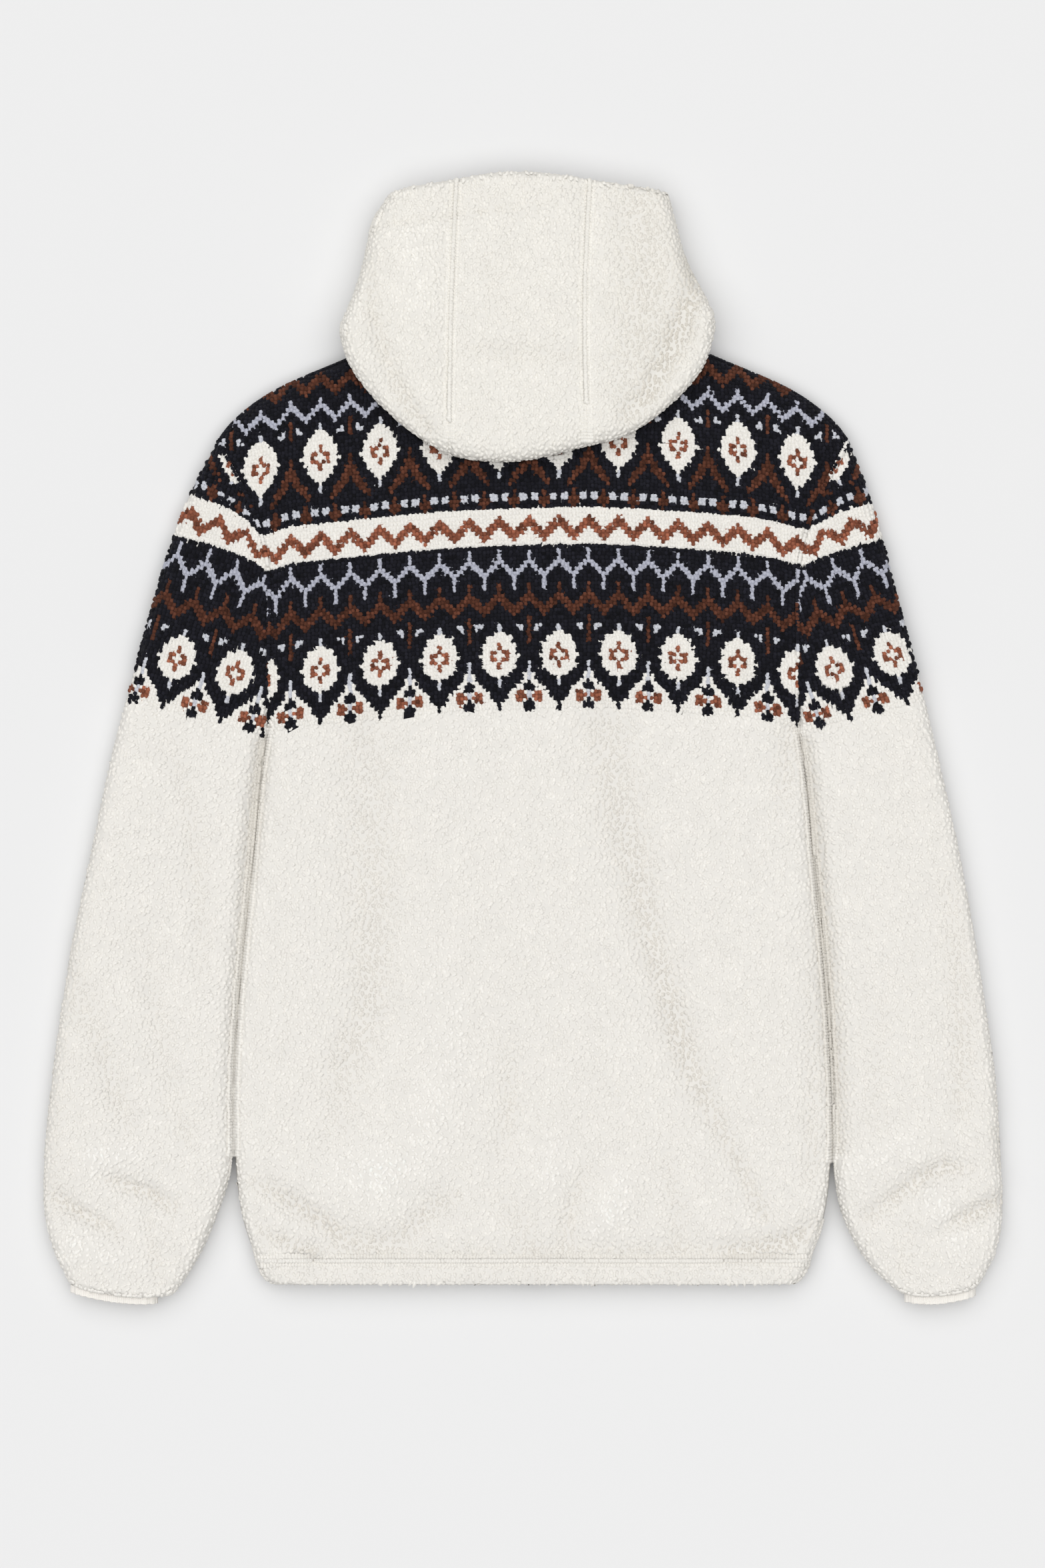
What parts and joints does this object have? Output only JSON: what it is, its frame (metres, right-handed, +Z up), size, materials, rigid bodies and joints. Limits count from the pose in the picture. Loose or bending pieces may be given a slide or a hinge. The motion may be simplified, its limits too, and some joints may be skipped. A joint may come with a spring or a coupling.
{
  "type": "hooded sherpa jacket",
  "caption": "Hooded jacket of pile fabric, laid flat on its front, with long sleeves, a three-panel hood folded back, bound cuffs, a cased hem and a front zip.",
  "frame": {"origin": "middle of the laid jacket's outline, on the surface that it lies on", "axes": "+Y from the hem towards the hood, +Z up from the surface, +X towards the wearer's right sleeve"},
  "size_m": [0.7084, 0.8321, 0.0393],
  "materials": {
    "sherpa_cream": "curly cream pile, matt, with a soft sheen",
    "sherpa_ivory": "curly ivory pile, matt, with a soft sheen",
    "sherpa_banded": "curly cream pile with a knitted-in band of dark, rust and grey-blue figures",
    "cuff_binding": "smooth elastic binding, off-white",
    "zip_tape": "woven twill tape",
    "zip_metal": "brushed, slightly dull"
  },
  "bodies": {
    "garment": {"back": "sherpa_banded", "front_left": "sherpa_cream", "front_right": "sherpa_cream", "sleeve_left": "sherpa_banded", "sleeve_right": "sherpa_banded", "hood_centre": "sherpa_ivory", "hood_left": "sherpa_ivory", "hood_right": "sherpa_ivory", "hem_back": "sherpa_cream", "hem_front_left": "sherpa_cream", "hem_front_right": "sherpa_cream", "cuff_left": "cuff_binding", "cuff_right": "cuff_binding", "zip_tape_left": "zip_tape", "zip_tape_right": "zip_tape", "zip_chain": "zip_metal", "zip_slider": "zip_metal"},
    "zip_pull": {"zip_pull": "zip_metal"}
  },
  "joints": [
    {"name": "pull_tab_hinge", "type": "hinge", "parent": "garment", "child": "zip_pull", "pos_m": [0.00735, 0.20317, 0.0022], "axis": [1, 0, 0], "range_deg": [0, 165]}
  ]
}
